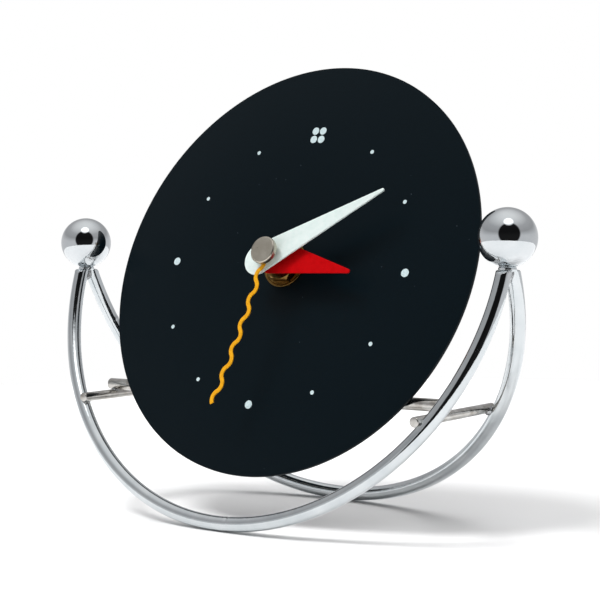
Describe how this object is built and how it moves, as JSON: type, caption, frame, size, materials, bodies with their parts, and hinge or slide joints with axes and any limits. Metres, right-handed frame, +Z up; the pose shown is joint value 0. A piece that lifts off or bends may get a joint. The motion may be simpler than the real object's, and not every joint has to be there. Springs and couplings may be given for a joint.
{
  "type": "desk clock",
  "caption": "Quartz clock with a round flat dial leaning back between two chromed wire hoops that meet at a ball on each side.",
  "frame": {"origin": "on the surface that the clock stands on, midway between the two hoops' lowest points", "axes": "+X to the viewer's right along the line through the balls, -Y towards the viewer, +Z up"},
  "size_m": [0.191, 0.0736, 0.1508],
  "materials": {
    "chrome": "bright chrome plate on steel wire and solid steel balls",
    "zinc_plated_steel": "dull zinc plate",
    "black_coating": "matt blue-black coating",
    "white_print": "screen-printed white ink",
    "brass": "turned and lacquered brass",
    "black_rubber": "soft black rubber",
    "black_abs": "black moulded ABS",
    "white_acetal": "natural acetal",
    "white_lacquer": "cool white satin lacquer on aluminium",
    "red_lacquer": "red satin lacquer on aluminium",
    "yellow_lacquer": "warm yellow lacquer on aluminium",
    "nickel": "satin nickel plate",
    "coil_copper": "enamelled copper wire",
    "bobbin_nylon": "natural nylon over a steel core",
    "circuit_laminate": "green laminate",
    "epoxy": "black epoxy drop",
    "battery_label": "plain two-colour sleeve on a steel can"
  },
  "bodies": {
    "stand": {"front_hoop": "chrome", "rear_hoop": "chrome", "left_ball": "chrome", "right_ball": "chrome", "left_ball_stud": "chrome", "right_ball_stud": "chrome", "left_side_rod": "chrome", "right_side_rod": "chrome", "crossbar": "chrome", "mounting_plate": "zinc_plated_steel", "dial_plate": "black_coating", "hour_marks": "white_print", "spindle_washer": "brass", "spindle_nut": "brass", "rubber_gasket": "black_rubber", "threaded_bush": "brass", "front_case": "black_abs", "back_cover": "black_abs", "train_plate": "black_abs", "stator": "zinc_plated_steel", "coil_bobbin": "bobbin_nylon", "coil_winding": "coil_copper", "circuit_board": "circuit_laminate", "chip": "epoxy", "quartz_crystal": "nickel", "positive_contact": "nickel", "negative_contact": "nickel"},
    "battery": {"aa_battery": "battery_label"},
    "minute_works": {"centre_wheel": "white_acetal", "minute_hand": "white_lacquer", "minute_hand_collet": "nickel"},
    "hour_works": {"hour_wheel": "white_acetal", "hour_hand": "red_lacquer", "hour_hand_collet": "nickel"},
    "seconds_works": {"seconds_wheel": "white_acetal", "second_hand": "yellow_lacquer", "second_hand_collet": "nickel", "second_hand_cap": "nickel"},
    "third_arbor": {"third_wheel": "white_acetal"},
    "intermediate_arbor": {"intermediate_wheel": "white_acetal"},
    "rotor_arbor": {"rotor": "zinc_plated_steel"},
    "reverser_arbor": {"reverser_wheel": "white_acetal"},
    "knob_shaft": {"setting_knob": "black_abs"}
  },
  "joints": [
    {"name": "minute_turn", "type": "hinge", "parent": "stand", "child": "minute_works", "pos_m": [0, 0.0037, 0.0833], "axis": [0, 0.9317, -0.3633], "continuous": true},
    {"name": "hour_turn", "type": "hinge", "parent": "stand", "child": "hour_works", "pos_m": [0, 0.0037, 0.0833], "axis": [0, 0.9317, -0.3633], "continuous": true},
    {"name": "seconds_turn", "type": "hinge", "parent": "stand", "child": "seconds_works", "pos_m": [0, 0.0037, 0.0833], "axis": [0, 0.9317, -0.3633], "continuous": true},
    {"name": "third_turn", "type": "hinge", "parent": "stand", "child": "third_arbor", "pos_m": [0.00045, 0.00762, 0.09335], "axis": [0, 0.9317, -0.3633], "continuous": true},
    {"name": "intermediate_turn", "type": "hinge", "parent": "stand", "child": "intermediate_arbor", "pos_m": [-0.00686, 0.00291, 0.08127], "axis": [0, 0.9317, -0.3633], "continuous": true},
    {"name": "rotor_turn", "type": "hinge", "parent": "stand", "child": "rotor_arbor", "pos_m": [-0.01287, 0.00222, 0.0795], "axis": [0, 0.9317, -0.3633], "continuous": true},
    {"name": "reverser_turn", "type": "hinge", "parent": "stand", "child": "reverser_arbor", "pos_m": [0.00998, 0.00393, 0.08389], "axis": [0, 0.9317, -0.3633], "continuous": true},
    {"name": "knob_turn", "type": "hinge", "parent": "stand", "child": "knob_shaft", "pos_m": [0.0183, 0.00626, 0.08985], "axis": [0, 0.9317, -0.3633], "continuous": true},
    {"name": "battery_slide", "type": "slide", "parent": "stand", "child": "battery", "axis": [0, 0.9317, -0.3633], "range_m": [0, 0.016]}
  ],
  "couplings": [
    {"joint": "hour_turn", "follows": "minute_turn", "ratio": 0.083333},
    {"joint": "seconds_turn", "follows": "minute_turn", "ratio": 60},
    {"joint": "third_turn", "follows": "minute_turn", "ratio": -8},
    {"joint": "intermediate_turn", "follows": "minute_turn", "ratio": -300},
    {"joint": "rotor_turn", "follows": "minute_turn", "ratio": 1800},
    {"joint": "reverser_turn", "follows": "minute_turn", "ratio": -0.33333},
    {"joint": "knob_turn", "follows": "minute_turn", "ratio": 0.83333}
  ]
}
